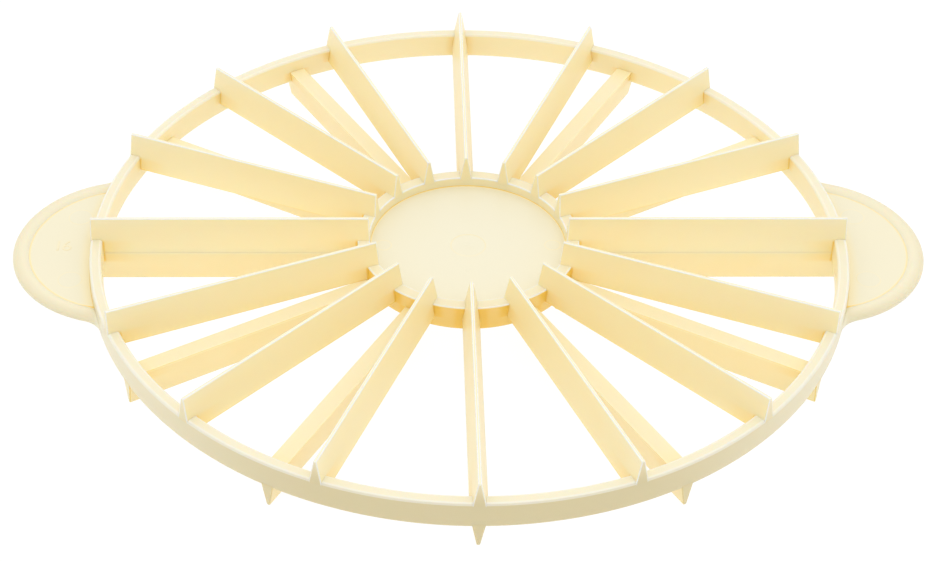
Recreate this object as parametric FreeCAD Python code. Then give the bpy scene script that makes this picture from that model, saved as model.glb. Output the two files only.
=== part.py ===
"""Double-sided round cake portion marker, one ivory plastic moulding.

One side carries sixteen marking blades and the other twelve.  The moulding is
divided into its named regions, one closed solid each: the outer ring, the rim
and the web of the hub, every blade, and the panel and bead of both handles.

Units are millimetres.  The origin is the centre of the hub on the parting
plane, +X runs through the right-hand handle and +Z points to the side with
sixteen blades.
"""
import FreeCAD, Part
import math
import os

# ---- driving dimensions ----
RING_OUTER_RADIUS = 135.0      # widest, on the parting plane
RING_INNER_RADIUS = 130.4      # narrowest, on the parting plane
RING_HALF_HEIGHT = 5.1
OUTSIDE_DRAFT = 0.03           # ring's outer wall and the blades' outer ends, mm per mm
RING_BORE_DRAFT = 0.08

HUB_OUTER_RADIUS = 40.15
HUB_BORE_RADIUS = 35.1
HUB_HALF_HEIGHT = 4.75
HUB_OUTSIDE_DRAFT = 0.11
HUB_BORE_DRAFT = 0.045         # hub's bore and the blades' inner ends
WEB_HALF_THICKNESS = 1.0
GATE_MARK_RADIUS = 6.3
HUB_EJECTOR_RADIUS = 2.8
HUB_EJECTOR_REACH = 30.3       # from the centre, on +X and on -X
MARK_DEPTH = 0.2

UPPER_BLADES = 16
LOWER_BLADES = 12
BLADE_HEIGHT = 13.4            # from the parting plane to the marking edge
BLADE_ROOT_HALF_WIDTH = 3.05
BLADE_EDGE_HALF_WIDTH = 0.55
BLADE_EDGE_ROUND = 0.3

HANDLE_CENTRE_X = 123.1
HANDLE_RADIUS = 40.1
HANDLE_MID_Z = -1.2
HANDLE_ROOT_RADIUS = 11.0      # hollow fillet between ear and ring
BEAD_WIDTH = 5.7
BEAD_HALF_THICKNESS = 1.9
BEAD_EDGE_ROUND = 1.3
BEAD_TIP_REACH = 42.3          # along Y, where the bead has thinned to half a millimetre
PANEL_HALF_THICKNESS = 1.0
PANEL_EJECTOR_RADIUS = 4.2
PANEL_EJECTOR_SPOTS = ((140.9, 18.0), (140.9, -18.0))

CUTTER_MARGIN = 1.0            # how far a blank runs past the surface that trims it
CUTTER_HALF_HEIGHT = 10.0      # taller than the handle on both sides

Z_AXIS = FreeCAD.Vector(0, 0, 1)
X_AXIS = FreeCAD.Vector(1, 0, 0)
ORIGIN = FreeCAD.Vector(0, 0, 0)


def vector(x, y, z=0.0):
    return FreeCAD.Vector(x, y, z)


def face_from_points(points):
    return Part.Face(Part.makePolygon(points + points[:1]))


def turned(profile):
    """Turn a half section, given as (radius, height) pairs, once round Z."""
    section = face_from_points([vector(radius, 0, height) for radius, height in profile])
    return section.revolve(ORIGIN, Z_AXIS, 360)


def make_outer_ring():
    outer_top = RING_OUTER_RADIUS - OUTSIDE_DRAFT * RING_HALF_HEIGHT
    inner_top = RING_INNER_RADIUS + RING_BORE_DRAFT * RING_HALF_HEIGHT
    return turned([
        (RING_INNER_RADIUS, 0), (inner_top, RING_HALF_HEIGHT), (outer_top, RING_HALF_HEIGHT),
        (RING_OUTER_RADIUS, 0), (outer_top, -RING_HALF_HEIGHT), (inner_top, -RING_HALF_HEIGHT),
    ])


def make_hub_rim():
    outer_top = HUB_OUTER_RADIUS - HUB_OUTSIDE_DRAFT * HUB_HALF_HEIGHT
    inner_top = HUB_BORE_RADIUS + HUB_BORE_DRAFT * (HUB_HALF_HEIGHT - WEB_HALF_THICKNESS)
    return turned([
        (HUB_BORE_RADIUS, -WEB_HALF_THICKNESS), (HUB_BORE_RADIUS, WEB_HALF_THICKNESS),
        (inner_top, HUB_HALF_HEIGHT), (outer_top, HUB_HALF_HEIGHT), (HUB_OUTER_RADIUS, 0),
        (outer_top, -HUB_HALF_HEIGHT), (inner_top, -HUB_HALF_HEIGHT),
    ])


def round_mark(radius, x, y, face_z):
    """A shallow round recess, sunk into a face that looks up."""
    return Part.makeCylinder(radius, 2 * MARK_DEPTH, vector(x, y, face_z - MARK_DEPTH))


def make_hub_web():
    web = Part.makeCylinder(HUB_BORE_RADIUS, 2 * WEB_HALF_THICKNESS, vector(0, 0, -WEB_HALF_THICKNESS))
    web = web.cut(round_mark(GATE_MARK_RADIUS, 0, 0, WEB_HALF_THICKNESS))
    for x in (-HUB_EJECTOR_REACH, HUB_EJECTOR_REACH):
        web = web.cut(round_mark(HUB_EJECTOR_RADIUS, x, 0, WEB_HALF_THICKNESS))
    return web


def blade_section():
    """The wedge across a blade: flat root on the parting plane, rounded corners at the edge."""
    slope = math.atan2(BLADE_HEIGHT, BLADE_ROOT_HALF_WIDTH - BLADE_EDGE_HALF_WIDTH)
    setback = BLADE_EDGE_ROUND * math.tan(slope / 2)
    side_y = BLADE_EDGE_HALF_WIDTH + setback * math.cos(slope)
    side_z = BLADE_HEIGHT - setback * math.sin(slope)
    centre_y = BLADE_EDGE_HALF_WIDTH - setback
    centre_z = BLADE_HEIGHT - BLADE_EDGE_ROUND
    mid_angle = (math.pi - slope) / 2
    mid_y = centre_y + BLADE_EDGE_ROUND * math.cos(mid_angle)
    mid_z = centre_z + BLADE_EDGE_ROUND * math.sin(mid_angle)

    def at(y, z):
        return vector(0, y, z)

    edges = [
        Part.makeLine(at(-BLADE_ROOT_HALF_WIDTH, 0), at(BLADE_ROOT_HALF_WIDTH, 0)),
        Part.makeLine(at(BLADE_ROOT_HALF_WIDTH, 0), at(side_y, side_z)),
        Part.Arc(at(side_y, side_z), at(mid_y, mid_z), at(centre_y, BLADE_HEIGHT)).toShape(),
        Part.makeLine(at(centre_y, BLADE_HEIGHT), at(-centre_y, BLADE_HEIGHT)),
        Part.Arc(at(-centre_y, BLADE_HEIGHT), at(-mid_y, mid_z), at(-side_y, side_z)).toShape(),
        Part.makeLine(at(-side_y, side_z), at(-BLADE_ROOT_HALF_WIDTH, 0)),
    ]
    return Part.Face(Part.Wire(edges))


def make_blade(ring, rim):
    """One blade along +X, edge up, notched at both ends to straddle the hub's rim and the ring."""
    wedge = blade_section().extrude(X_AXIS * (RING_OUTER_RADIUS + CUTTER_MARGIN))
    reach = turned([
        (HUB_BORE_RADIUS, 0), (HUB_BORE_RADIUS, WEB_HALF_THICKNESS),
        (HUB_BORE_RADIUS + HUB_BORE_DRAFT * (BLADE_HEIGHT - WEB_HALF_THICKNESS), BLADE_HEIGHT),
        (RING_OUTER_RADIUS - OUTSIDE_DRAFT * BLADE_HEIGHT, BLADE_HEIGHT), (RING_OUTER_RADIUS, 0),
    ])
    return wedge.common(reach).cut(ring).cut(rim)


def blades_around(blade, count):
    """Copies of the blade at equal steps, the first on +X."""
    copies = []
    for index in range(count):
        copy = blade.copy()
        copy.rotate(ORIGIN, Z_AXIS, index * 360 / count)
        copies.append(copy)
    return copies


def handle_outline(wall_radius):
    """The right-hand handle in plan: ear, two hollow fillets, and a root inside the ring's wall."""
    to_ring = RING_OUTER_RADIUS + HANDLE_ROOT_RADIUS
    to_ear = HANDLE_RADIUS + HANDLE_ROOT_RADIUS
    root_x = (to_ring**2 - to_ear**2 + HANDLE_CENTRE_X**2) / (2 * HANDLE_CENTRE_X)
    root_y = math.sqrt(to_ring**2 - root_x**2)
    ear_centre = vector(HANDLE_CENTRE_X, 0)
    tip = vector(HANDLE_CENTRE_X + HANDLE_RADIUS, 0)
    corners = []
    for side in (1, -1):
        root = vector(root_x, side * root_y)
        ring_end = root * (RING_OUTER_RADIUS / to_ring)
        ear_end = ear_centre + (root - ear_centre) * (HANDLE_RADIUS / to_ear)
        towards_bend = ((ring_end - root) + (ear_end - root)).normalize()
        corners.append((ring_end, root + towards_bend * HANDLE_ROOT_RADIUS, ear_end,
                        root * (wall_radius / to_ring)))
    (ring_a, bend_a, ear_a, wall_a), (ring_b, bend_b, ear_b, wall_b) = corners
    edges = [
        Part.Arc(ring_a, bend_a, ear_a).toShape(),
        Part.Arc(ear_a, tip, ear_b).toShape(),
        Part.Arc(ear_b, bend_b, ring_b).toShape(),
        Part.makeLine(ring_b, wall_b),
        Part.Arc(wall_b, vector(wall_radius, 0), wall_a).toShape(),
        Part.makeLine(wall_a, ring_a),
    ]
    return Part.Face(Part.Wire(edges))


def arcs_of(solid, radii):
    """The solid's edges that are arcs of the given radii."""
    found = []
    for edge in solid.Edges:
        circle = isinstance(edge.Curve, Part.Circle)
        if circle and any(math.isclose(edge.Curve.Radius, radius) for radius in radii):
            found.append(edge)
    return found


def tall_cylinder(radius, x):
    """A cutter round (x, 0), taller than the handle."""
    return Part.makeCylinder(radius, 2 * CUTTER_HALF_HEIGHT, vector(x, 0, -CUTTER_HALF_HEIGHT))


def make_handle(ring):
    """The right-hand handle: its recessed panel, and the rounded bead round it."""
    wall_radius = (RING_INNER_RADIUS + RING_OUTER_RADIUS) / 2
    panel_radius = HANDLE_RADIUS - BEAD_WIDTH
    low = HANDLE_MID_Z - BEAD_HALF_THICKNESS
    blank = handle_outline(wall_radius).extrude(Z_AXIS * (2 * BEAD_HALF_THICKNESS))
    blank.translate(vector(0, 0, low))
    bead = blank.cut(tall_cylinder(panel_radius, HANDLE_CENTRE_X))
    bead = bead.makeFillet(BEAD_EDGE_ROUND, arcs_of(bead, (HANDLE_RADIUS, HANDLE_ROOT_RADIUS)))
    bead = bead.makeFillet(BEAD_EDGE_ROUND / 2, arcs_of(bead, (panel_radius,)))
    between_tips = Part.makeBox(
        2 * HANDLE_RADIUS, 2 * BEAD_TIP_REACH, 2 * CUTTER_HALF_HEIGHT,
        vector(HANDLE_CENTRE_X - HANDLE_RADIUS + CUTTER_MARGIN, -BEAD_TIP_REACH, -CUTTER_HALF_HEIGHT))
    bead = bead.common(between_tips).cut(ring)

    panel = Part.makeCylinder(panel_radius, 2 * PANEL_HALF_THICKNESS,
                              vector(HANDLE_CENTRE_X, 0, HANDLE_MID_Z - PANEL_HALF_THICKNESS))
    panel = panel.cut(tall_cylinder(wall_radius, 0)).cut(ring)
    for x, y in PANEL_EJECTOR_SPOTS:
        panel = panel.cut(round_mark(PANEL_EJECTOR_RADIUS, x, y, HANDLE_MID_Z + PANEL_HALF_THICKNESS))
    return panel, bead


def make_parts():
    ring = make_outer_ring()
    rim = make_hub_rim()
    parts = {"outer_ring": ring, "hub_rim": rim, "hub_web": make_hub_web()}

    blade = make_blade(ring, rim)
    for index, copy in enumerate(blades_around(blade, UPPER_BLADES), start=1):
        parts[f"upper_blade_{index:02d}"] = copy
    inverted = blade.copy()
    inverted.rotate(ORIGIN, X_AXIS, 180)
    for index, copy in enumerate(blades_around(inverted, LOWER_BLADES), start=1):
        parts[f"lower_blade_{index:02d}"] = copy

    panel, bead = make_handle(ring)
    parts["right_handle_panel"] = panel
    parts["right_handle_bead"] = bead
    parts["left_handle_panel"] = panel.mirror(ORIGIN, X_AXIS)
    parts["left_handle_bead"] = bead.mirror(ORIGIN, X_AXIS)
    return parts


def main():
    os.makedirs("parts", exist_ok=True)
    for name, shape in make_parts().items():
        solids = shape.Solids
        if len(solids) != 1 or not shape.isValid():
            raise RuntimeError(f"{name} is not one valid solid")
        solids[0].exportStep(f"parts/{name}.step")
        print(f"{name}: {solids[0].Volume:.1f} mm3")


main()
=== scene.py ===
"""Ivory cake portion marker: a ring and a dished hub joined by wedge blades on both faces.

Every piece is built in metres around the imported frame, which fixes all main sizes.
Radii, roundings and colours that a maker would change are in the property groups.
"""
import math
from typing import NamedTuple

import bmesh
import bpy
from bpy.props import FloatProperty, FloatVectorProperty, IntProperty, PointerProperty
from mathutils import Euler, Matrix, Vector


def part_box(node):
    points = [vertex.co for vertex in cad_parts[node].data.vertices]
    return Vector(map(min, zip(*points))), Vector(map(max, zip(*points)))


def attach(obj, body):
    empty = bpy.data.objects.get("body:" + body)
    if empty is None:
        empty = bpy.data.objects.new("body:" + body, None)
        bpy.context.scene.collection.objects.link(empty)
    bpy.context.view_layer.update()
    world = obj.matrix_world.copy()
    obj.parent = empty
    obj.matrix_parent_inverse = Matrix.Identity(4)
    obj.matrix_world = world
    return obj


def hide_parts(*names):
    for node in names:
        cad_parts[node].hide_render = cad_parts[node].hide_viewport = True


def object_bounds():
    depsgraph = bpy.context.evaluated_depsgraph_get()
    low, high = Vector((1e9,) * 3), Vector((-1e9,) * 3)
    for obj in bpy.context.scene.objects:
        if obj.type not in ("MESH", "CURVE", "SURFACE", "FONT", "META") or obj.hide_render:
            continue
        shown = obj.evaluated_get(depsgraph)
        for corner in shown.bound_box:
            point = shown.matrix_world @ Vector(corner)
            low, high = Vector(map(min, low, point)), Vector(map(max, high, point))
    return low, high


bl_info = {
    "name": "Cake Portion Marker",
    "version": (1, 0, 0),
    "blender": (4, 5, 0),
    "location": "View3D > Sidebar > Portion Marker",
    "description": "Builds a double-sided ivory cake portion marker around its frame",
    "category": "Object",
}

MM = 0.001
BODY = "root"

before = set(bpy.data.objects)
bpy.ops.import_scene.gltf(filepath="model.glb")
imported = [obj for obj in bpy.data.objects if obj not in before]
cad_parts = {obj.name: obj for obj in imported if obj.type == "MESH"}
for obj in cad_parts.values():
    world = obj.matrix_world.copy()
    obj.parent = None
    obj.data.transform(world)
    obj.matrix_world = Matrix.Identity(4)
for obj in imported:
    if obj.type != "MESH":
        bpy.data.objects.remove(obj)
CAD_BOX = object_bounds()

UPPER_BLADES = sorted(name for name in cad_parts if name.startswith("upper_blade"))
LOWER_BLADES = sorted(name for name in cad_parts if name.startswith("lower_blade"))

RING_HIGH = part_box("outer_ring")[1]
RING_OUTER = RING_HIGH.y
RIM_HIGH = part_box("hub_rim")[1]
WEB_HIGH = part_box("hub_web")[1]
BLADE_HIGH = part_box(UPPER_BLADES[0])[1]
BEAD_LOW, BEAD_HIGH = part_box("right_handle_bead")
PANEL_LOW, PANEL_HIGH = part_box("right_handle_panel")
FLOOR_HEIGHT = CAD_BOX[0].z
RING_THICKNESS = 4.6 * MM
RING_INNER = RING_OUTER - RING_THICKNESS
SEAT_DEPTH = 1.5 * MM  # how far a handle's pieces run into the ring's wall

# How much painted shade each surface takes, a warmer ivory that stands for light bounced between the walls:
# 0 is open-face ivory, 0.5 wall ivory and 1 amber.
RING_BORE_SHADE = 0.45
RING_TOP_SHADE = 0.05
RING_OUTSIDE_SHADE = 0.12
RIM_BORE_SHADE = 0.42
RIM_TOP_SHADE = 0.12
RIM_OUTSIDE_SHADE = 0.85
RIM_WAIST_SHADE = 0.92
BLADE_SIDE_SHADE = 0.5
BLADE_ROOT_SHADE = 0.1
BLADE_OUTER_END_SHADE = 0.25
BEAD_SHADE = 0.05
PANEL_SHADE = 0.06
NUMERAL_SHADE = 0.2

# How much painted highlight each rounding takes: 1 is all the paler highlight ivory.
RING_EDGE_HIGHLIGHT = 0.5
BLADE_END_HIGHLIGHT = 0.8


# ---------------------------------------------------------------- settings

def length(name, description, default, **limits):
    """A length setting, in metres."""
    return FloatProperty(name=name, description=description, default=default,
                         unit="LENGTH", precision=5, min=0.0, **limits)


def colour(name, description, default):
    return FloatVectorProperty(name=name, description=description, default=default,
                               subtype="COLOR", size=3, min=0.0, max=1.0)


class MarkerRoundSizes(bpy.types.PropertyGroup):
    """The ring and the hub."""
    ring_bore: length("Ring bore", "Ring's inner radius on the parting plane", 130.4 * MM)
    ring_bore_draft: FloatProperty(
        name="Ring bore draft", description="How much the bore opens per unit of height", default=0.08)
    outside_draft: FloatProperty(
        name="Outside draft", description="How much the outer wall closes per unit of height", default=0.03)
    hub_outside_draft: FloatProperty(
        name="Hub outside draft", description="How much the hub's outer wall closes", default=0.11)
    hub_bore_draft: FloatProperty(
        name="Hub bore draft", description="How much the hub's bore opens above the web", default=0.045)
    ring_round: length("Ring rounding", "Rounding of the ring's edges", 0.9 * MM)
    rim_round: length("Rim rounding", "Rounding of the hub rim's edges", 0.45 * MM)
    web_fillet: length("Web fillet", "Hollow rounding where the web meets the rim", 0.4 * MM)
    gate_radius: length("Gate mark", "Radius of the gate mark in the middle of the web", 6.3 * MM)
    gate_depth: length("Gate depth", "Depth of the gate mark", 0.14 * MM)
    pin_radius: length("Ejector mark", "Radius of an ejector pin's mark on the web", 2.8 * MM)
    pin_relief: length("Ejector relief", "How far an ejector pin's mark stands proud", 0.035 * MM)
    segments: IntProperty(
        name="Segments", description="Steps round the ring", default=384, min=48, max=720)


class MarkerBladeSizes(bpy.types.PropertyGroup):
    """The marking blades."""
    edge_width: length("Edge width", "Width of the marking edge before it is rounded", 1.1 * MM)
    edge_round: length("Edge rounding", "Rounding of the marking edge", 0.42 * MM)
    root_round: length("Root rounding", "Rounding along the root's two corners", 0.02 * MM)
    end_round: length("End rounding", "Rounding of the blade's end faces", 0.3 * MM)
    proud: length("Proud", "How far the ends stand out of the walls they close", 0.03 * MM)


class MarkerHandleSizes(bpy.types.PropertyGroup):
    """The two ear handles."""
    centre_x: length("Ear centre", "From the hub's centre to the ear's centre", 123.1 * MM)
    root_radius: length("Root radius", "Hollow rounding between the ear and the ring", 11.0 * MM)
    bead_width: length("Bead width", "Width of the raised bead", 6.3 * MM)
    bead_fullness: FloatProperty(
        name="Bead fullness", description="2 is an ellipse across the bead, more is squarer", default=2.2)
    bead_foot: FloatProperty(
        name="Bead foot", description="Share of the bead's height at which its inner slope ends",
        default=0.35)
    mark_x: length("Ejector marks along", "From the hub's centre to the panel's ejector marks", 140.9 * MM)
    mark_y: length("Ejector marks across", "From the middle line to the panel's ejector marks", 18.0 * MM)
    mark_radius: length("Ejector marks", "Radius of the panel's ejector marks", 4.2 * MM)
    numeral_x: length("Numeral along", "From the hub's centre to the numeral", 145.7 * MM)
    numeral_y: length("Numeral across", "From the middle line to the numeral", 1.0 * MM)
    numeral_height: length("Numeral height", "Height of the portion numeral", 5.5 * MM)
    numeral_relief: length("Numeral relief", "How far the numeral stands out", 0.06 * MM)


class MarkerFinish(bpy.types.PropertyGroup):
    """Colours and surface of the ivory plastic, and the colours of its painted shade and painted highlight.
    """
    body: colour("Open faces", "Ivory of the faces that look up or down", (0.865, 0.81, 0.61))
    # Painted shade: the walls' warmer ivory stands for light bounced between the blades and the walls.
    wall: colour("Walls", "Warmer ivory of the blades' sides and the inner walls", (0.955, 0.83, 0.505))
    # Painted shade: the ring's outer wall is painted duller where it gets less light.
    outside: colour("Outside", "Duller ivory of the ring's outer wall", (0.69, 0.59, 0.335))
    # Painted shade: amber where walls meet stands for the shade and bounced light in the corners.
    deep_shade: colour("Depth", "Amber where walls meet", (0.94, 0.635, 0.115))
    # Painted highlight: the paler ivory on the upper roundings stands for light caught on them.
    highlit: colour("Thin edge", "Paler ivory where the plastic is thin", (0.88, 0.885, 0.86))
    roughness: FloatProperty(
        name="Roughness", description="Roughness of the satin skin", default=0.36, min=0.0, max=1.0)
    translucence: FloatProperty(
        name="Translucence", description="Share of the light that goes into the plastic",
        default=0.3, min=0.0, max=1.0)


class MarkerStudio(bpy.types.PropertyGroup):
    """Camera, lights and floor."""
    camera_place: FloatVectorProperty(
        name="Camera place", description="Where the camera stands", subtype="TRANSLATION", unit="LENGTH",
        size=3, default=(-0.0270, -0.6342, 0.5054), precision=4)
    camera_turn: FloatVectorProperty(
        name="Camera turn", description="How the camera is turned", subtype="EULER", size=3,
        default=(math.radians(50.594), math.radians(-0.070), math.radians(-0.143)))
    lens: FloatProperty(name="Lens", description="Focal length on a 36 mm sensor, in mm", default=86.49)
    shift: FloatProperty(name="Shift", description="Sideways shift of the lens", default=0.0755)
    surround: FloatProperty(
        name="Surround", description="Brightness of the white surround", default=1.04)
    front: FloatProperty(
        name="Front", description="Brightness of the surround low down on the near side", default=0.08)
    high_front: FloatProperty(
        name="Front power", description="Power of the large softbox high on the near side",
        default=2.2, unit="POWER")
    side: FloatProperty(
        name="Side power", description="Power of the softbox on the left", default=0.3, unit="POWER")
    softbox_width: length("Softbox width", "Width of both round softboxes", 0.9)
    floor: colour("Floor", "Colour of the plain floor", (0.1, 0.1, 0.1))
    floor_radius: length("Floor radius", "How far the plain floor reaches", 12.0)
    floor_glow: FloatProperty(
        name="Floor glow", description="Light that the opal floor gives of itself", default=0.94)


# ---------------------------------------------------------------- mesh tools

class Spot(NamedTuple):
    """A point of an outline: edge says how much painted highlight it takes, and warmth how strong the
    painted shade on it is.
    """
    place: Vector
    edge: float
    warmth: float


def plain_spots(count, warmth):
    """The paint of a piece that has the same painted shade all over."""
    return [Spot(Vector((0, 0)), 0.0, warmth)] * count


def make_piece(name, vertices, faces, spots, material):
    """A smooth closed mesh object that carries each vertex's edge, its painted highlight, and its painted
    shade.
    """
    mesh = bpy.data.meshes.new(name)
    mesh.from_pydata([tuple(v) for v in vertices], [], faces)
    for key in ("edge", "warmth"):
        attribute = mesh.attributes.new(key, "FLOAT", "POINT")
        attribute.data.foreach_set("value", [getattr(spot, key) for spot in spots])
    work = bmesh.new()
    work.from_mesh(mesh)
    bmesh.ops.recalc_face_normals(work, faces=work.faces)
    for face in work.faces:
        face.smooth = True
    work.to_mesh(mesh)
    work.free()
    piece = bpy.data.objects.new(name, mesh)
    bpy.context.scene.collection.objects.link(piece)
    if material is not None:
        mesh.materials.append(material)
    return piece


def finish_piece(piece, nodes):
    """Hands a finished piece to the frame."""
    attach(piece, BODY)
    if nodes:
        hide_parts(*nodes)


def rounded_outline(corners, steps=5, edge=1.0, support=0.05 * MM):
    """A closed outline of spots from (across, up, rounding, painted shade of the flat that follows)
    corners. The roundings' spots take edge, their painted highlight.

    A spot beside each rounding keeps the flat's shading flat.
    """
    spots = []
    count = len(corners)
    for index, (across, up, rounding, warmth) in enumerate(corners):
        corner = Vector((across, up))
        warmth_before = corners[index - 1][3]
        before = Vector(corners[index - 1][:2]) - corner
        after = Vector(corners[(index + 1) % count][:2]) - corner
        before.normalize()
        after.normalize()
        between = (warmth_before + warmth) / 2
        if rounding == 0:
            spots.append(Spot(corner, 0.0, between))
            continue
        half = before.angle(after) / 2
        setback = rounding / math.tan(half)
        centre = corner + (before + after).normalized() * (rounding / math.sin(half))
        start = corner + before * setback - centre
        end = corner + after * setback - centre
        sweep = start.angle_signed(end)
        spots.append(Spot(corner + before * (setback + support), 0.0, warmth_before))
        for step in range(steps + 1):
            turned = start.copy()
            turned.rotate(Matrix.Rotation(-sweep * step / steps, 2))
            spots.append(Spot(centre + turned, edge, between))
        spots.append(Spot(corner + after * (setback + support), 0.0, warmth))
    return spots


def turned_piece(name, outline, segments, material):
    """Turns a closed outline of (radius, height) spots once round Z."""
    vertices, faces, spots = [], [], []
    count = len(outline)
    for turn in range(segments):
        angle = 2 * math.pi * turn / segments
        for spot in outline:
            radius, height = spot.place
            vertices.append((radius * math.cos(angle), radius * math.sin(angle), height))
            spots.append(spot)
        following = (turn + 1) % segments
        for index in range(count):
            onward = (index + 1) % count
            faces.append((turn * count + index, following * count + index,
                          following * count + onward, turn * count + onward))
    return make_piece(name, vertices, faces, spots, material)


def lofted_piece(name, loops, spots, material, ladder=False):
    """Joins equal loops of points into a skin and closes both ends.

    A ladder end has a rung between each point and its mirror image, so it may be
    bowed; otherwise the end is one flat face.
    """
    count = len(loops[0])
    vertices = [point for loop in loops for point in loop]
    faces = []
    for row in range(len(loops) - 1):
        for index in range(count):
            onward = (index + 1) % count
            faces.append((row * count + index, (row + 1) * count + index,
                          (row + 1) * count + onward, row * count + onward))
    for first in (0, (len(loops) - 1) * count):
        if ladder:
            for index in range(count // 2 - 1):
                faces.append((first + index, first + index + 1,
                              first + count - 2 - index, first + count - 1 - index))
        else:
            faces.append(tuple(range(first, first + count)))
    return make_piece(name, vertices, faces, spots, material)


def inset_outline(outline, distance, edge, warmth=None):
    """A convex outline moved inwards by a distance, with its own edge, the painted highlight, and its own
    painted shade.
    """
    moved = []
    count = len(outline)
    centre = sum((spot.place for spot in outline), Vector((0, 0))) / count
    for index, spot in enumerate(outline):
        before = (spot.place - outline[index - 1].place).normalized()
        after = (outline[(index + 1) % count].place - spot.place).normalized()
        normal = before.orthogonal() + after.orthogonal()
        normal.normalize()
        if normal.dot(centre - spot.place) < 0:
            normal.negate()
        widening = max(0.5, math.sqrt((1 + before.dot(after)) / 2))
        place = spot.place + normal * (distance / widening)
        moved.append(Spot(place, edge, spot.warmth if warmth is None else warmth))
    return moved


# ---------------------------------------------------------------- shader tools

class Socket:
    """A node socket that adds Math nodes when it is used in an expression."""

    def __init__(self, shader, socket):
        self.shader = shader
        self.socket = socket

    def _math(self, operation, *values):
        return self.shader.node("ShaderNodeMath", {"operation": operation}, dict(enumerate(values)))

    def __add__(self, other):
        return self._math("ADD", self, other)

    def __sub__(self, other):
        return self._math("SUBTRACT", self, other)

    def __rsub__(self, other):
        return self._math("SUBTRACT", other, self)

    def __mul__(self, other):
        return self._math("MULTIPLY", self, other)

    def __abs__(self):
        return self._math("ABSOLUTE", self)

    __radd__ = __add__
    __rmul__ = __mul__

    def at_least(self, other):
        return self._math("MAXIMUM", self, other)

    def at_most(self, other):
        return self._math("MINIMUM", self, other)

    def above(self, other):
        return self._math("GREATER_THAN", self, other)

    def zigzag(self, half_period):
        return self._math("PINGPONG", self, half_period)


class Shader:
    """Adds nodes to one material's or one world's tree."""

    def __init__(self, tree):
        self.tree = tree
        self.tree.nodes.clear()

    def node(self, kind, settings=None, inputs=None, output=0):
        """Adds a node: its settings first, then the values or links of its sockets."""
        made = self.tree.nodes.new(kind)
        for key, value in (settings or {}).items():
            setattr(made, key, value)
        for key, value in (inputs or {}).items():
            if isinstance(value, Socket):
                self.tree.links.new(value.socket, made.inputs[key])
            else:
                made.inputs[key].default_value = value
        return Socket(self, made.outputs[output]) if made.outputs else made

    def parts(self, vector):
        """The three numbers of a vector."""
        split = self.node("ShaderNodeSeparateXYZ", inputs={0: vector}).socket.node
        return [Socket(self, out) for out in split.outputs]

    def plan_length(self, across, along):
        """The length in plan of an offset."""
        offset = self.node("ShaderNodeCombineXYZ", inputs={0: across, 1: along})
        return self.node("ShaderNodeVectorMath", {"operation": "LENGTH"}, {0: offset}, output=1)

    def mix(self, factor, first, second):
        """Mixes two colours."""
        made = self.tree.nodes.new("ShaderNodeMix")
        made.data_type = "RGBA"
        sockets = {s.identifier: s for s in made.inputs}
        for key, value in (("Factor_Float", factor), ("A_Color", first), ("B_Color", second)):
            if isinstance(value, Socket):
                self.tree.links.new(value.socket, sockets[key])
            else:
                sockets[key].default_value = value
        result = next(s for s in made.outputs if s.identifier == "Result_Color")
        return Socket(self, result)

    def ramp(self, value, low, high):
        """0 below low, 1 above high and smooth between them."""
        return self.node("ShaderNodeMapRange", {"interpolation_type": "SMOOTHSTEP"},
                         {"Value": value, "From Min": low, "From Max": high})


def with_alpha(rgb):
    return (*rgb, 1.0)


class Place:
    """Where a shaded point is on the marker, all in metres from its middle."""

    def __init__(self, shader):
        self.coordinates = shader.node("ShaderNodeTexCoord", output=3)
        self.across, self.along, self.up = shader.parts(self.coordinates)
        self.reach = shader.plan_length(self.across, self.along)
        self.height = abs(self.up)


def circle_line(shader, across, along, radius, half_width):
    """1 on a circle about the point that across and along are measured from."""
    away = abs(shader.plan_length(across, along) - radius)
    return 1.0 - shader.ramp(away, half_width * 0.3, half_width)


def outer_wall_shade(shader, place):
    """How much of the outer wall's painted shade, a duller ivory, a point takes.

    The ring's outer wall and the blades' outer ends in line with it take most, less
    towards the handles and the upper blades' tips.  The bead's outer flank takes some.
    """
    handle = bpy.context.scene.marker_handle_sizes
    draft = bpy.context.scene.marker_round_sizes.outside_draft
    from_wall = abs(place.reach + place.height * draft - RING_OUTER)
    wall = 1.0 - shader.ramp(from_wall, 0.15 * MM, 0.5 * MM)
    # Painted shade: strongest at the front and back, weaker towards the handles.
    front_back_shade = 1.0 - shader.ramp(abs(place.across), RING_OUTER / 3, RING_OUTER - 9 * MM) * 0.7
    ear = BEAD_HIGH.x - handle.centre_x
    from_ear = shader.plan_length(abs(place.across) - handle.centre_x, place.along)
    flank = shader.ramp(from_ear, ear - handle.bead_width * 0.75, ear)
    past_ring = shader.ramp(place.reach, RING_OUTER + 0.2 * MM, RING_OUTER + 1.5 * MM)
    near_tip = shader.ramp(place.up, RING_HIGH.z, BLADE_HIGH.z)
    return wall * front_back_shade * (1.0 - near_tip * 0.5) + flank * past_ring * 0.4


def by_both_walls(shader, place, ring_width, rim_width):
    """1 on the ring's bore and on the rim's outer wall, fading to 0 over the widths between them."""
    return shader.ramp(place.reach, RING_INNER - ring_width, RING_INNER).at_least(
        1.0 - shader.ramp(place.reach, RIM_HIGH.x, RIM_HIGH.x + rim_width))


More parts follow.
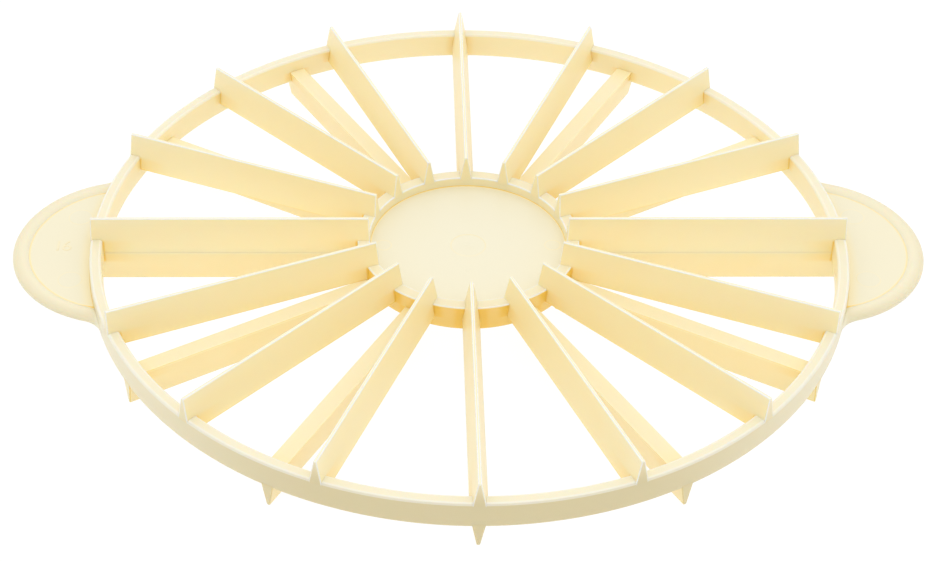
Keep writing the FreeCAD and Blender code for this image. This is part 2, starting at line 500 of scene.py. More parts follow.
def blade_painted_shade(shader, place):
    """Painted shade where a blade runs into the ring or the hub, along its root and on the lower side, and
    less of it, a painted highlight, near the tops of the outer ends.
    """
    shade_width = 14 * MM
    crease_width = 0.6 * MM
    near = by_both_walls(shader, place, shade_width, 12 * MM)
    crease = by_both_walls(shader, place, crease_width, crease_width)
    sheltered = 1.0 - shader.ramp(place.height, RIM_HIGH.z - 1.0 * MM, RING_HIGH.z + 0.5 * MM)
    on_axis = 1.0 - shader.ramp(abs(place.across).at_most(abs(place.along)), 3.2 * MM, 3.6 * MM)
    root = (1.0 - shader.ramp(place.height, 0.15 * MM, 0.5 * MM)) * (1.0 - on_axis)
    # Painted highlight: the upper blades are paler near the tops of their outer ends.
    tip = shader.ramp(place.up, BLADE_HIGH.z - 5 * MM, BLADE_HIGH.z)
    outward = shader.ramp(place.reach, (RIM_HIGH.x + RING_INNER) / 2, RING_OUTER)
    between = place.reach.above(RIM_HIGH.x - 0.8 * MM)
    lower = 1.0 - shader.ramp(place.up, -1.5 * MM, -0.2 * MM)
    return ((near * 0.5 + crease) * sheltered * between * 0.28 + root * 0.2
            + lower * 0.10 - tip * outward * 0.2)


def wall_painted_shade(shader, place):
    """Painted shade on the walls beside each blade, and where the rim meets the web."""
    angle = shader.node("ShaderNodeMath", {"operation": "ARCTAN2"}, {0: place.along, 1: place.across})
    upper = angle.zigzag(math.pi / len(UPPER_BLADES)) * place.reach
    lower = angle.zigzag(math.pi / len(LOWER_BLADES)) * place.reach
    is_upper = place.up.above(0.0)
    gap = upper * is_upper + lower * (1.0 - is_upper)
    beside = 1.0 - shader.ramp(gap, BLADE_HIGH.y, BLADE_HIGH.y + 4 * MM)
    below_top = 1.0 - shader.ramp(place.height, RIM_HIGH.z - 1.2 * MM, RIM_HIGH.z)
    facing = (1.0 - shader.ramp(abs(place.reach - RIM_HIGH.x), 0.8 * MM, 1.0 * MM)).at_least(
        1.0 - shader.ramp(abs(place.reach - RING_INNER), 0.8 * MM, 1.0 * MM))
    floor_line = 1.0 - shader.ramp(place.height, WEB_HIGH.z + 0.1 * MM, WEB_HIGH.z + 0.6 * MM)
    at_web = 1.0 - shader.ramp(abs(place.reach - WEB_HIGH.x), 0.1 * MM, 0.5 * MM)
    return beside * below_top * facing * 0.22 + floor_line * at_web * 0.4


def hub_mark_reach():
    """From the hub's centre to its two ejector marks, which lie just inside the rim."""
    return WEB_HIGH.x - bpy.context.scene.marker_round_sizes.pin_radius - 2.0 * MM


def panel_painted_shade(shader, place):
    """Painted shade along the groove inside the bead, round the ejector and gate marks, and where plates
    meet the ring and the rim.
    """
    handle = bpy.context.scene.marker_handle_sizes
    hub = bpy.context.scene.marker_round_sizes
    groove_radius = BEAD_HIGH.x - handle.centre_x - handle.bead_width * 0.93
    groove = circle_line(shader, abs(place.across) - handle.centre_x, place.along, groove_radius, 0.8 * MM)
    pins = circle_line(shader, abs(place.across) - handle.mark_x, abs(place.along) - handle.mark_y,
                       handle.mark_radius, 0.35 * MM)
    gate = circle_line(shader, place.across, place.along, hub.gate_radius - 0.1 * MM, 0.4 * MM)
    hub_pins = circle_line(shader, abs(place.across) - hub_mark_reach(), place.along,
                           hub.pin_radius, 0.35 * MM)
    outside = place.reach.above(RING_HIGH.x - 1 * MM)
    by_ring = 1.0 - shader.ramp(place.reach, RING_HIGH.x, RING_HIGH.x + 5 * MM)
    join = 1.0 - shader.ramp(place.reach, RING_HIGH.x + 0.1 * MM, RING_HIGH.x + 0.6 * MM)
    at_rim = shader.ramp(place.reach, WEB_HIGH.x - 0.7 * MM, WEB_HIGH.x - 0.2 * MM)
    handle_shade = groove * 0.55 + pins * 0.15 + by_ring * 0.35 + join * 0.4
    hub_shade = at_rim * 0.5 + gate * 0.24 + hub_pins * 0.2
    return outside * handle_shade + (1.0 - outside) * hub_shade


def ivory(name, grain, draw_lines, depth, translucence):
    """Satin ivory plastic.

    grain is the skin's fine texture, draw_lines the tool's level lines, depth the function
    that says where the painted shade is stronger, and translucence the share of light that goes in.
    """
    finish = bpy.context.scene.marker_finish
    material = bpy.data.materials.new(name)
    material.use_nodes = True
    shader = Shader(material.node_tree)
    place = Place(shader)
    edge = shader.node("ShaderNodeAttribute", {"attribute_name": "edge"}, output=2)
    warmth = shader.node("ShaderNodeAttribute", {"attribute_name": "warmth"}, output=2)

    mottle = shader.node("ShaderNodeTexNoise", {}, {
        "Vector": place.coordinates, "Scale": 55.0, "Detail": 3.0, "Roughness": 0.55})
    speckle = shader.node("ShaderNodeTexNoise", {}, {
        "Vector": place.coordinates, "Scale": 2600.0, "Detail": 2.0, "Roughness": 0.6})
    # Painted shade on the roundings underneath, which take amber where the upper ones take the painted
    # highlight.
    underside = 1.0 - shader.ramp(place.up, -3.0 * MM, -1.0 * MM)
    # The amber is painted shade from the surface values and the masks, plus a random mottle of the
    # plastic's own tone.
    amber = warmth + depth(shader, place) + (mottle - 0.5) * 0.10 + edge * underside * 0.45
    # Painted shade on the steep faces of the plates, numerals and marks.
    if not translucence:
        level = abs(shader.parts(shader.node("ShaderNodeNewGeometry", output=1))[2])
        amber = amber + (1.0 - shader.ramp(level, 0.5, 0.9)) * 0.5
    amber = amber.at_least(0.0).at_most(1.0)
    shade = shader.mix((amber * 2.0).at_most(1.0), with_alpha(finish.body), with_alpha(finish.wall))
    shade = shader.mix((amber * 2.0 - 1.0).at_least(0.0), shade, with_alpha(finish.deep_shade))
    # Painted shade: the outer wall's duller ivory.
    shade = shader.mix(outer_wall_shade(shader, place) * 0.9, shade, with_alpha(finish.outside))
    # Painted highlight on the upper roundings.
    shade = shader.mix(edge * (1.0 - underside) * 0.9, shade, with_alpha(finish.highlit))

    layers = shader.node("ShaderNodeCombineXYZ", inputs={0: place.reach * 12.0, 2: place.up * 4200.0})
    lines = shader.node("ShaderNodeTexNoise", {}, {"Vector": layers, "Scale": 1.0, "Detail": 2.0})
    relief = speckle * grain + lines * draw_lines
    bump = shader.node("ShaderNodeBump", {}, {"Strength": 0.35, "Distance": 0.02 * MM, "Height": relief})

    rough = finish.roughness + (mottle - 0.5) * 0.14 + (speckle - 0.5) * 0.10 - edge * 0.10
    surface = shader.node("ShaderNodeBsdfPrincipled", {}, {
        "Base Color": shade, "Roughness": rough, "Normal": bump, "IOR": 1.5,
        "Subsurface Weight": translucence, "Subsurface Scale": 1.0 * MM,
        "Subsurface Radius": (2.4, 1.8, 1.0)})
    shader.node("ShaderNodeOutputMaterial", {}, {"Surface": surface})
    return material


def shared_ivory(name, grain, draw_lines, depth, translucence):
    """The finish of this name, made when it is first asked for."""
    return bpy.data.materials.get(name) or ivory(name, grain, draw_lines, depth, translucence)


def wall_ivory():
    return shared_ivory("ivory_drawn_walls", 0.35, 0.8, wall_painted_shade,
                        bpy.context.scene.marker_finish.translucence)


def blade_ivory():
    return shared_ivory("ivory_polished_blades", 0.25, 0.6, blade_painted_shade,
                        bpy.context.scene.marker_finish.translucence)


def panel_ivory():
    return shared_ivory("ivory_fine_matt", 1.0, 0.0, panel_painted_shade, 0.0)


# ---------------------------------------------------------------- geometry nodes

def new_tree(name, sockets):
    """An empty geometry tree with a geometry input, named inputs and a geometry output."""
    tree = bpy.data.node_groups.new(name, "GeometryNodeTree")
    tree.interface.new_socket("Geometry", in_out="INPUT", socket_type="NodeSocketGeometry")
    for label, kind in sockets:
        tree.interface.new_socket(label, in_out="INPUT", socket_type=kind)
    tree.interface.new_socket("Geometry", in_out="OUTPUT", socket_type="NodeSocketGeometry")
    source = tree.nodes.new("NodeGroupInput")
    return tree, source


def add_node(tree, kind, settings=None, inputs=None):
    made = tree.nodes.new(kind)
    for key, value in (settings or {}).items():
        setattr(made, key, value)
    for key, value in (inputs or {}).items():
        if isinstance(value, bpy.types.NodeSocket):
            tree.links.new(value, made.inputs[key])
        else:
            made.inputs[key].default_value = value
    return made


def end_tree(tree, source, geometry):
    """Ends a tree in real geometry with its material set."""
    real = add_node(tree, "GeometryNodeRealizeInstances", inputs={0: geometry})
    painted = add_node(tree, "GeometryNodeSetMaterial", inputs={
        0: real.outputs[0], "Material": source.outputs["Material"]})
    add_node(tree, "NodeGroupOutput", inputs={0: painted.outputs[0]})
    return tree


def spokes_tree():
    """Copies of the input at equal turns round Z."""
    tree, source = new_tree("Spokes", (("Count", "NodeSocketInt"), ("Material", "NodeSocketMaterial")))
    spots = add_node(tree, "GeometryNodePoints", inputs={"Count": source.outputs["Count"]})
    index = add_node(tree, "GeometryNodeInputIndex")
    share = add_node(tree, "ShaderNodeMath", {"operation": "DIVIDE"},
                     {0: index.outputs[0], 1: source.outputs["Count"]})
    angle = add_node(tree, "ShaderNodeMath", {"operation": "MULTIPLY"},
                     {0: share.outputs[0], 1: 2 * math.pi})
    turn = add_node(tree, "ShaderNodeCombineXYZ", inputs={2: angle.outputs[0]})
    copies = add_node(tree, "GeometryNodeInstanceOnPoints", inputs={
        "Points": spots.outputs[0], "Instance": source.outputs["Geometry"], "Rotation": turn.outputs[0]})
    return end_tree(tree, source, copies.outputs[0])


def pin_marks_tree():
    """A low round plateau on every input point, half of it sunk below the point."""
    tree, source = new_tree("Pin Marks", (
        ("Radius", "NodeSocketFloat"), ("Relief", "NodeSocketFloat"), ("Material", "NodeSocketMaterial")))
    inner = add_node(tree, "ShaderNodeMath", {"operation": "SUBTRACT"}, {
        0: source.outputs["Radius"], 1: 0.15 * MM})
    depth = add_node(tree, "ShaderNodeMath", {"operation": "MULTIPLY"}, {
        0: source.outputs["Relief"], 1: 2.0})
    plateau = add_node(tree, "GeometryNodeMeshCone", {"fill_type": "TRIANGLE_FAN"}, {
        "Vertices": 64, "Radius Top": inner.outputs[0], "Radius Bottom": source.outputs["Radius"],
        "Depth": depth.outputs[0]})
    drop = add_node(tree, "ShaderNodeMath", {"operation": "MULTIPLY"}, {
        0: source.outputs["Relief"], 1: -1.0})
    shift = add_node(tree, "ShaderNodeCombineXYZ", inputs={2: drop.outputs[0]})
    sunk = add_node(tree, "GeometryNodeTransform", inputs={
        "Geometry": plateau.outputs[0], "Translation": shift.outputs[0]})
    copies = add_node(tree, "GeometryNodeInstanceOnPoints", inputs={
        "Points": source.outputs["Geometry"], "Instance": sunk.outputs[0]})
    return end_tree(tree, source, copies.outputs[0])


def grown_piece(name, seed_mesh, tree, values):
    """Runs a geometry tree on a seed mesh and keeps the result as a plain mesh."""
    seed = bpy.data.objects.new(name, seed_mesh)
    bpy.context.scene.collection.objects.link(seed)
    modifier = seed.modifiers.new(tree.name, "NODES")
    modifier.node_group = tree
    inputs = {s.name: s.identifier for s in tree.interface.items_tree if s.in_out == "INPUT"}
    for label, value in values.items():
        modifier[inputs[label]] = value
    bpy.context.view_layer.update()
    graph = bpy.context.evaluated_depsgraph_get()
    plain = bpy.data.meshes.new_from_object(seed.evaluated_get(graph), depsgraph=graph)
    seed.modifiers.clear()
    seed.data = plain
    plain.name = name
    return seed


def points_mesh(name, places):
    mesh = bpy.data.meshes.new(name)
    mesh.from_pydata([tuple(p) for p in places], [], [])
    return mesh


# ---------------------------------------------------------------- pieces

class MARKER_OT_outer_ring(bpy.types.Operator):
    """Build the outer ring, drafted both ways from its middle"""
    bl_idname = "marker.outer_ring"
    bl_label = "Outer Ring"

    def execute(self, context):
        sizes = context.scene.marker_round_sizes
        top = RING_HIGH.z
        outer_top = RING_OUTER - sizes.outside_draft * top
        inner_top = sizes.ring_bore + sizes.ring_bore_draft * top
        edge = sizes.ring_round
        corners = [
            (sizes.ring_bore, 0, 0, RING_BORE_SHADE), (inner_top, top, edge, RING_TOP_SHADE),
            (outer_top, top, edge, RING_OUTSIDE_SHADE), (RING_OUTER, 0, 0, RING_OUTSIDE_SHADE),
            (outer_top, -top, edge, RING_TOP_SHADE), (inner_top, -top, edge, RING_BORE_SHADE),
        ]
        outline = rounded_outline(corners, steps=6, edge=RING_EDGE_HIGHLIGHT)
        piece = turned_piece("outer_ring_moulding", outline, sizes.segments, wall_ivory())
        finish_piece(piece, ["outer_ring"])
        return {"FINISHED"}


class MARKER_OT_hub(bpy.types.Operator):
    """Build the hub: its rim, the web with a hollow fillet, and the gate mark"""
    bl_idname = "marker.hub"
    bl_label = "Hub"

    def execute(self, context):
        sizes = context.scene.marker_round_sizes
        top, web = RIM_HIGH.z, WEB_HIGH.z
        outer, bore = RIM_HIGH.x, WEB_HIGH.x
        outer_top = outer - sizes.hub_outside_draft * top
        bore_top = bore + sizes.hub_bore_draft * (top - web)
        edge = sizes.rim_round
        corners = [
            (bore, 0, 0, RIM_BORE_SHADE), (bore_top, top, edge, RIM_TOP_SHADE),
            (outer_top, top, edge, RIM_OUTSIDE_SHADE), (outer, 0, 0, RIM_WAIST_SHADE),
            (outer_top, -top, edge, RIM_TOP_SHADE), (bore_top, -top, edge, RIM_BORE_SHADE),
        ]
        rim = turned_piece("hub_rim_moulding", rounded_outline(corners), sizes.segments // 2, wall_ivory())
        finish_piece(rim, ["hub_rim"])
        self.build_web(sizes, bore, web)
        return {"FINISHED"}

    def build_web(self, sizes, bore, web):
        """A disc with a sunk gate mark, whose faces run up into the rim by a hollow fillet."""
        fillet = sizes.web_fillet
        gate, depth = sizes.gate_radius, sizes.gate_depth
        nub = gate / 9
        slope = 0.15 * MM
        rows = [
            (nub, web - depth / 2), (nub + slope, web - depth),
            (gate - 2 * slope, web - depth), (gate - slope, web - depth),
            (gate, web), (gate + slope, web), (bore - fillet - 0.1 * MM, web),
        ]
        steps = 6
        for step in range(steps + 1):
            angle = math.pi / 2 * step / steps
            rows.append((bore - fillet + fillet * math.sin(angle), web + fillet * (1 - math.cos(angle))))
        rows.append((bore + 0.5 * MM, web + fillet))
        rows += [(radius, -height) for radius, height in reversed(rows)]
        segments = sizes.segments // 2
        vertices, faces = [], []
        for radius, height in rows:
            for turn in range(segments):
                angle = 2 * math.pi * turn / segments
                vertices.append((radius * math.cos(angle), radius * math.sin(angle), height))
        for row in range(len(rows) - 1):
            for turn in range(segments):
                onward = (turn + 1) % segments
                faces.append((row * segments + turn, row * segments + onward,
                              (row + 1) * segments + onward, (row + 1) * segments + turn))
        for row in (0, len(rows) - 1):
            vertices.append((0, 0, rows[row][1]))
            for turn in range(segments):
                onward = (turn + 1) % segments
                faces.append((row * segments + turn, row * segments + onward, len(vertices) - 1))
        spots = plain_spots(len(vertices), 0.0)
        disc = make_piece("hub_web_moulding", vertices, faces, spots, panel_ivory())
        finish_piece(disc, ["hub_web"])


class MARKER_OT_blades(bpy.types.Operator):
    """Build both sets of wedge blades from one blank"""
    bl_idname = "marker.blades"
    bl_label = "Blades"

    def section(self, context):
        """The wedge across a blade, with extra spots at the heights where its ends change."""
        sizes = context.scene.marker_blade_sizes
        root = BLADE_HIGH.y
        edge = sizes.edge_width / 2
        top = BLADE_HIGH.z
        outline = rounded_outline([
            (-root, 0, sizes.root_round, BLADE_SIDE_SHADE),
            (-edge, top, sizes.edge_round, BLADE_SIDE_SHADE),
            (edge, top, sizes.edge_round, BLADE_SIDE_SHADE),
            (root, 0, sizes.root_round, BLADE_ROOT_SHADE)])
        at_root = BLADE_HIGH.z / 2
        outline = [spot._replace(edge=0.0, warmth=BLADE_SIDE_SHADE)
                   if spot.place.y < at_root and spot.edge > 0 else spot for spot in outline]
        levels = [height for pair in self.covers(context) for height in pair]
        tiny = 0.0001 * MM
        points = []
        count = len(outline)
        for index, spot in enumerate(outline):
            points.append(spot)
            onward = outline[(index + 1) % count]
            low, high = sorted((spot.place.y, onward.place.y))
            crossed = sorted((z for z in levels if low + tiny < z < high - tiny),
                             reverse=spot.place.y > onward.place.y)
            for z in crossed:
                share = (z - spot.place.y) / (onward.place.y - spot.place.y)
                points.append(Spot(spot.place.lerp(onward.place, share), 0.0, spot.warmth))
        return points

    def covers(self, context):
        """For the rim and the ring, the heights between which an end slips under the wall."""
        sizes = context.scene.marker_round_sizes
        tops = (RIM_HIGH.z - sizes.rim_round, RING_HIGH.z - sizes.ring_round)
        return [(top - 1.6 * MM, top - 0.1 * MM) for top in tops]

    def end(self, context, which, place):
        """How far from the hub's centre an end face lies at an (across, up) place.

        Above the covered heights it stands a little proud of the wall's line, and below them it
        slips under the wall.
        """
        sizes = context.scene.marker_round_sizes
        low, high = self.covers(context)[which]
        proud = context.scene.marker_blade_sizes.proud
        sunk = 5 * proud
        share = min(1.0, max(0.0, (place.y - low) / (high - low)))
        stand = proud * share - sunk * (1 - share)
        if which == 0:
            radius = WEB_HIGH.x + sizes.hub_bore_draft * (place.y - WEB_HIGH.z) - stand
        else:
            radius = RING_OUTER - sizes.outside_draft * place.y + stand
        return math.sqrt(radius * radius - place.x * place.x)

    def blank(self, context):
        """One upper blade along +X."""
        outline = self.section(context)
        turn = context.scene.marker_blade_sizes.end_round
        loops, spots = [], []

        def add(ring, which, shift):
            loops.append([Vector((self.end(context, which, spot.place) + shift, *spot.place))
                          for spot in ring])
            spots.extend(ring)

        steps = 4
        angles = [math.pi / 2 * step / steps for step in range(steps + 1)]
        arc = [(turn * (1 - math.cos(angle)), turn * (1 - math.sin(angle))) for angle in angles]
        flat = turn * 1.4
        add(inset_outline(outline, flat, 0.0, BLADE_SIDE_SHADE), 0, 0)
        for inset, back in reversed(arc):
            add(inset_outline(outline, inset, BLADE_END_HIGHLIGHT), 0, back)
        margin = turn * 1.3
        spans = 8
        for step in range(spans + 1):
            share = step / spans
            ring = []
            for spot in outline:
                start = self.end(context, 0, spot.place) + margin
                stop = self.end(context, 1, spot.place) - margin
                ring.append(Vector((start + (stop - start) * share, *spot.place)))
            loops.append(ring)
            spots.extend(outline)
        for inset, back in arc:
            add(inset_outline(outline, inset, BLADE_END_HIGHLIGHT), 1, -back)
        add(inset_outline(outline, flat, 0.0, BLADE_OUTER_END_SHADE), 1, 0)
        return lofted_piece("blade_blank", loops, spots, None, ladder=True)

    def execute(self, context):
        blank = self.blank(context)
        upper_seed = blank.data
        lower_seed = upper_seed.copy()
        lower_seed.transform(Matrix.Rotation(math.pi, 4, "X"))
        bpy.data.objects.remove(blank)
        tree = spokes_tree()
        sides = (("upper_blades_moulding", upper_seed, UPPER_BLADES),
                 ("lower_blades_moulding", lower_seed, LOWER_BLADES))
        for name, seed, nodes in sides:
            piece = grown_piece(name, seed, tree, {"Count": len(nodes), "Material": blade_ivory()})
            finish_piece(piece, nodes)
        return {"FINISHED"}


class MARKER_OT_handles(bpy.types.Operator):
    """Build both ear handles and the portion numerals on the left-hand one"""
    bl_idname = "marker.handles"
    bl_label = "Handles"

    def bead_lines(self, sizes):
        """Matching inner and outer lines of the right-hand bead, from one root to the other."""
        ring = RING_OUTER
        centre = Vector((sizes.centre_x, 0))
        ear = BEAD_HIGH.x - sizes.centre_x
        groove = ear - sizes.bead_width
        root = sizes.root_radius
        root_x = ((ring + root) ** 2 - (ear + root) ** 2 + centre.x ** 2) / (2 * centre.x)
        root_y = math.sqrt((ring + root) ** 2 - root_x ** 2)
        root_centre = Vector((root_x, root_y))
        ring_angle = math.atan2(-root_centre.y, -root_centre.x)
        ear_angle = math.atan2(-root_centre.y, centre.x - root_centre.x)
        turn_start = math.atan2(root_centre.y, root_centre.x - centre.x)
        groove_x = (ring ** 2 - groove ** 2 + centre.x ** 2) / (2 * centre.x)
        groove_start = math.atan2(math.sqrt(ring ** 2 - groove_x ** 2), groove_x - centre.x)

        outer, inner = [], []
        root_steps = 14
        for step in range(root_steps):
            share = step / root_steps
            angle = ring_angle + (ear_angle - ring_angle) * share
            outer.append(root_centre + Vector((math.cos(angle), math.sin(angle))) * root)
            angle = groove_start + (turn_start - groove_start) * share
            inner.append(centre + Vector((math.cos(angle), math.sin(angle))) * groove)
        ear_steps = 60
        for step in range(ear_steps + 1):
            angle = turn_start * (1 - 2 * step / ear_steps)
            way = Vector((math.cos(angle), math.sin(angle)))
            outer.append(centre + way * ear)
            inner.append(centre + way * groove)
        into_wall = (ring - SEAT_DEPTH) / ring
        for line in (outer, inner):
            line.extend(Vector((p.x, -p.y)) for p in reversed(line[:root_steps]))
            line.insert(0, line[0] * into_wall)
            line.append(line[-1] * into_wall)
        return inner, outer

    def bead_section(self, sizes, angle):
        """A (across, up) point of the bead's section, each from -1 to 1.

        The outer half is full and round, and the inner half slopes down to its foot in the panel.
        """
        across, up = math.cos(angle), math.sin(angle)
        power = 2 / sizes.bead_fullness
        if across > 0:
            return across ** power, math.copysign(abs(up) ** power, up)
        if math.isclose(angle, math.pi):
            return across, 0.0
        low = sizes.bead_foot
        return across, math.copysign(low + (1 - low) * math.cos(math.pi / 2 * across), up)

    def bead(self, sizes, name, side):
        """The raised bead: its section carried along the ear and into the ring."""
        middle = (BEAD_LOW.z + BEAD_HIGH.z) / 2
        half = (BEAD_HIGH.z - BEAD_LOW.z) / 2
        steps = 40
        section = [self.bead_section(sizes, 2 * math.pi * step / steps) for step in range(steps)]
        loops = []
        for near, far in zip(*self.bead_lines(sizes)):
            centre = (near + far) / 2
            way = (far - near) / 2
            loops.append([Vector(((centre.x + way.x * across) * side, centre.y + way.y * across,
                                  middle + half * up)) for across, up in section])
        spots = plain_spots(steps * len(loops), BEAD_SHADE)
        return lofted_piece(name, loops, spots, wall_ivory())

    def panel(self, sizes, name, side):
        """The flat plate inside the bead, its outline sunk a little into the bead and the ring."""
        ear = BEAD_HIGH.x - sizes.centre_x
        reach = ear - sizes.bead_width * 0.62
        wall = RING_OUTER - SEAT_DEPTH
        cross_x = (wall ** 2 - reach ** 2 + sizes.centre_x ** 2) / (2 * sizes.centre_x)
        limit = math.atan2(math.sqrt(wall ** 2 - cross_x ** 2), cross_x - sizes.centre_x)
        wall_limit = math.atan2(math.sqrt(wall ** 2 - cross_x ** 2), cross_x)
        outline = []
        ear_steps = 64
        for step in range(ear_steps + 1):
            angle = -limit + 2 * limit * step / ear_steps
            outline.append(Vector((sizes.centre_x + reach * math.cos(angle), reach * math.sin(angle))))
        wall_steps = 24
        for step in range(1, wall_steps):
            angle = wall_limit - 2 * wall_limit * step / wall_steps
            outline.append(Vector((wall * math.cos(angle), wall * math.sin(angle))))
        loops = [[Vector((p.x * side, p.y, height)) for p in outline]
                 for height in (PANEL_LOW.z, PANEL_HIGH.z)]
        piece = lofted_piece(name, loops, plain_spots(2 * len(outline), PANEL_SHADE), panel_ivory())
        for face in piece.data.polygons:
            face.use_smooth = False
        return piece

    def numeral(self, sizes, text, name, middle, top):
        """A portion numeral in low relief on the left-hand panel."""
        curve = bpy.data.curves.new(name, "FONT")
        curve.body = text
        curve.align_x = "CENTER"
        curve.align_y = "CENTER"
        figure_share = 0.7  # of a figure's height in the size of its type
        curve.size = sizes.numeral_height / figure_share
        curve.space_character = 0.8
        curve.extrude = sizes.numeral_relief
        bevel = 0.05 * MM
        curve.bevel_depth = bevel
        curve.bevel_resolution = 2
        curve.offset = -bevel
        letters = bpy.data.objects.new(name, curve)
        bpy.context.scene.collection.objects.link(letters)
        graph = bpy.context.evaluated_depsgraph_get()
        mesh = bpy.data.meshes.new_from_object(letters.evaluated_get(graph), depsgraph=graph)
        bpy.data.objects.remove(letters)
        turn = Matrix.Identity(4) if top else Matrix.Rotation(math.pi, 4, "X")
        height = PANEL_HIGH.z if top else PANEL_LOW.z
        mesh.transform(Matrix.Translation((middle, sizes.numeral_y, height)) @ turn)
        mesh.materials.clear()
        mesh.materials.append(panel_ivory())
        work = bmesh.new()
        work.from_mesh(mesh)
        bmesh.ops.remove_doubles(work, verts=work.verts, dist=0.001 * MM)
        bmesh.ops.recalc_face_normals(work, faces=work.faces)
        work.to_mesh(mesh)
        work.free()
        # Painted shade: the numeral takes a little more shade than the panel round it.
        numeral_painted_shade = mesh.attributes.new("warmth", "FLOAT", "POINT")
        numeral_painted_shade.data.foreach_set("value", [NUMERAL_SHADE] * len(mesh.vertices))
        piece = bpy.data.objects.new(name, mesh)
        bpy.context.scene.collection.objects.link(piece)
        return piece

    def execute(self, context):
        sizes = context.scene.marker_handle_sizes
        for label, side in (("right", 1), ("left", -1)):
            bead = self.bead(sizes, f"{label}_handle_bead_moulding", side)
            finish_piece(bead, [f"{label}_handle_bead"])
            panel = self.panel(sizes, f"{label}_handle_panel_moulding", side)
            finish_piece(panel, [f"{label}_handle_panel"])
        for text, name, top in (("16", "numeral_upper_side", True), ("12", "numeral_lower_side", False)):
            finish_piece(self.numeral(sizes, text, name, -sizes.numeral_x, top), [])
        return {"FINISHED"}


class MARKER_OT_tool_marks(bpy.types.Operator):
    """Build the marks that the ejector and core pins leave"""
    bl_idname = "marker.tool_marks"
    bl_label = "Tool Marks"

    def execute(self, context):
        sizes = context.scene.marker_round_sizes
        handles = context.scene.marker_handle_sizes
        tree = pin_marks_tree()
        web_places = [(side * hub_mark_reach(), 0, WEB_HIGH.z) for side in (1, -1)]
        core_places = [(0, -5 * sizes.pin_radius, WEB_HIGH.z)]
        handle_places = [(side * handles.mark_x, far * handles.mark_y, PANEL_HIGH.z)
                         for side in (1, -1) for far in (1, -1)]
        marks = (
            ("web_ejector_marks", sizes.pin_radius, web_places),
            ("web_core_mark", sizes.pin_radius / 2, core_places),
            ("handle_ejector_marks", handles.mark_radius, handle_places),
        )
        for name, radius, places in marks:
            piece = grown_piece(name, points_mesh(name, places), tree, {
                "Radius": radius, "Relief": sizes.pin_relief, "Material": panel_ivory()})
            finish_piece(piece, [])
        return {"FINISHED"}


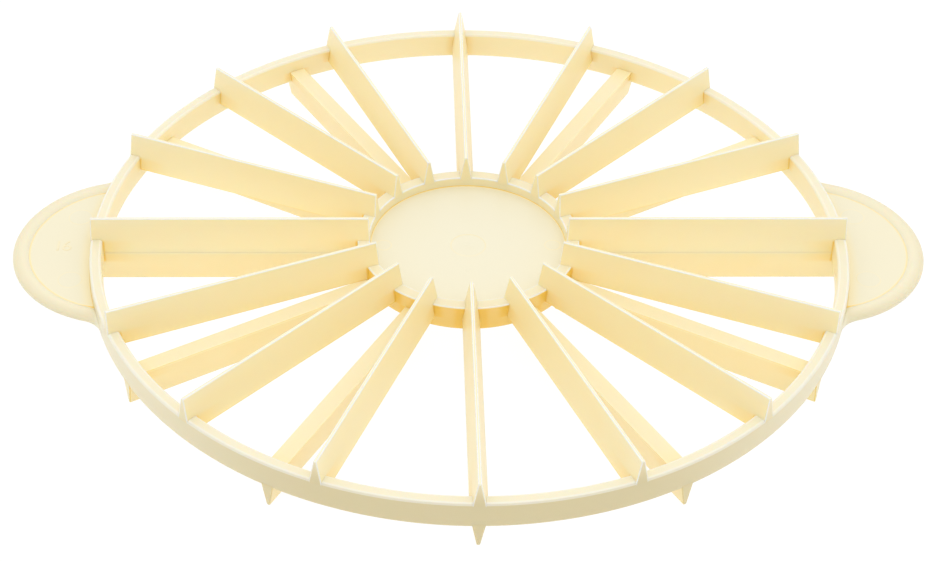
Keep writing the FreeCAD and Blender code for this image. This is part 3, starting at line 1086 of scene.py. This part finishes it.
class MARKER_OT_studio(bpy.types.Operator):
    """Build the floor, the lights and the camera"""
    bl_idname = "marker.studio"
    bl_label = "Studio"

    def softbox(self, name, place, width, power):
        """A round softbox that points at the marker."""
        data = bpy.data.lights.new(name, "AREA")
        data.shape = "DISK"
        data.size = width
        data.energy = power
        lamp = bpy.data.objects.new(name, data)
        bpy.context.scene.collection.objects.link(lamp)
        lamp.location = place
        lamp.rotation_euler = (-Vector(place)).to_track_quat("-Z", "Y").to_euler()

    def floor(self, radius, shade, glow):
        """A wide opal floor under the lower blades' edges."""
        material = bpy.data.materials.new("opal_floor")
        material.use_nodes = True
        shader = Shader(material.node_tree)
        surface = shader.node("ShaderNodeBsdfPrincipled", {}, {
            "Base Color": with_alpha(shade), "Roughness": 0.9, "Specular IOR Level": 0.1,
            "Emission Color": (1, 1, 1, 1), "Emission Strength": glow})
        shader.node("ShaderNodeOutputMaterial", {}, {"Surface": surface})
        work = bmesh.new()
        bmesh.ops.create_circle(work, cap_ends=True, segments=96, radius=radius,
                                matrix=Matrix.Translation((0, 0, FLOOR_HEIGHT)))
        mesh = bpy.data.meshes.new("floor")
        work.to_mesh(mesh)
        work.free()
        mesh.materials.append(material)
        ground = bpy.data.objects.new("floor", mesh)
        bpy.context.scene.collection.objects.link(ground)

    def surround(self, bright, front):
        """An even white surround that is dimmer low down on the near side."""
        world = bpy.data.worlds.new("white_surround")
        world.use_nodes = True
        shader = Shader(world.node_tree)
        direction = shader.parts(shader.node("ShaderNodeTexCoord"))
        away = direction[1] + abs(direction[0]) * 0.4 + direction[2] * 1.5
        strength = front + (bright - front) * shader.ramp(away, -0.7, 0.3)
        light = shader.node("ShaderNodeBackground", inputs={"Color": (1, 1, 1, 1), "Strength": strength})
        shader.node("ShaderNodeOutputWorld", {}, {"Surface": light})
        bpy.context.scene.world = world

    def camera(self, studio):
        data = bpy.data.cameras.new("camera")
        data.sensor_width = 36.0
        data.lens = studio.lens
        data.shift_x = studio.shift
        data.clip_start = 0.01
        camera = bpy.data.objects.new("camera", data)
        bpy.context.scene.collection.objects.link(camera)
        camera.location = studio.camera_place
        camera.rotation_euler = Euler(studio.camera_turn)
        bpy.context.scene.camera = camera

    def execute(self, context):
        studio = context.scene.marker_studio
        self.floor(studio.floor_radius, studio.floor, studio.floor_glow)
        self.surround(studio.surround, studio.front)
        self.softbox("high_front_softbox", (0.1, -0.8, 1.2), studio.softbox_width, studio.high_front)
        self.softbox("side_softbox", (-1.3, -0.5, 0.9), studio.softbox_width, studio.side)
        self.camera(studio)
        context.scene.view_settings.view_transform = "Standard"
        return {"FINISHED"}


PIECE_OPERATORS = (
    MARKER_OT_outer_ring, MARKER_OT_hub, MARKER_OT_blades, MARKER_OT_handles,
    MARKER_OT_tool_marks, MARKER_OT_studio,
)


class MARKER_PT_sidebar(bpy.types.Panel):
    """The sidebar panel that lists every piece and its settings"""
    bl_idname = "MARKER_PT_sidebar"
    bl_label = "Portion Marker"
    bl_space_type = "VIEW_3D"
    bl_region_type = "UI"
    bl_category = "Portion Marker"

    def draw(self, context):
        for operator in PIECE_OPERATORS:
            self.layout.operator(operator.bl_idname)
        for group in SETTINGS:
            box = self.layout.box()
            settings = getattr(context.scene, group)
            for key in settings.__annotations__:
                box.prop(settings, key)


SETTINGS = {
    "marker_round_sizes": MarkerRoundSizes,
    "marker_blade_sizes": MarkerBladeSizes,
    "marker_handle_sizes": MarkerHandleSizes,
    "marker_finish": MarkerFinish,
    "marker_studio": MarkerStudio,
}


def register():
    for made in (*SETTINGS.values(), *PIECE_OPERATORS, MARKER_PT_sidebar):
        bpy.utils.register_class(made)
    for key, group in SETTINGS.items():
        setattr(bpy.types.Scene, key, PointerProperty(type=group))


def unregister():
    for key in SETTINGS:
        delattr(bpy.types.Scene, key)
    for made in reversed((*SETTINGS.values(), *PIECE_OPERATORS, MARKER_PT_sidebar)):
        bpy.utils.unregister_class(made)


def main():
    register()
    bpy.ops.marker.outer_ring()
    bpy.ops.marker.hub()
    bpy.ops.marker.blades()
    bpy.ops.marker.handles()
    bpy.ops.marker.tool_marks()
    bpy.ops.marker.studio()


if __name__ == "__main__":
    main()
